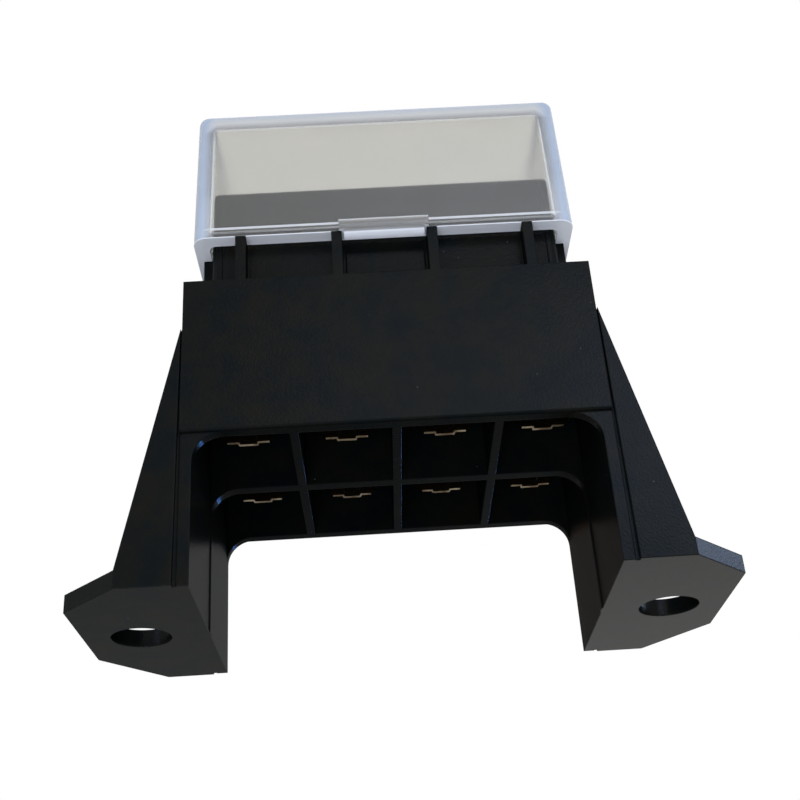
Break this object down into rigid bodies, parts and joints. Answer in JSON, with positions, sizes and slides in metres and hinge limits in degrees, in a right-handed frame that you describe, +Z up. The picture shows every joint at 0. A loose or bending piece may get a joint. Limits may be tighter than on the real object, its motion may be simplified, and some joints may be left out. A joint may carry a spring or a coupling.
{
  "type": "fuse holder box",
  "caption": "Screw-down blade fuse holder box: black moulded housing with open terminal cells below, brass push-on tabs, and a clear cover that lifts off.",
  "frame": {"origin": "on the mounting surface, midway between the two screw holes", "axes": "+X across the row of fuses, +Y from the front panel to the back, +Z up to the cover"},
  "size_m": [0.065, 0.0296, 0.0557],
  "materials": {
    "black_housing": "matte moulded polyamide",
    "clear_cover": "clear moulded polycarbonate",
    "brass_terminal": "stamped sheet"
  },
  "bodies": {
    "base": {"housing": "black_housing", "terminal_front_1": "brass_terminal", "terminal_front_2": "brass_terminal", "terminal_front_3": "brass_terminal", "terminal_front_4": "brass_terminal", "terminal_back_1": "brass_terminal", "terminal_back_2": "brass_terminal", "terminal_back_3": "brass_terminal", "terminal_back_4": "brass_terminal"},
    "lid": {"cover": "clear_cover"}
  },
  "joints": [
    {"name": "cover_lift", "type": "slide", "parent": "base", "child": "lid", "axis": [0, 0, 1], "range_m": [0, 0.02]}
  ]
}
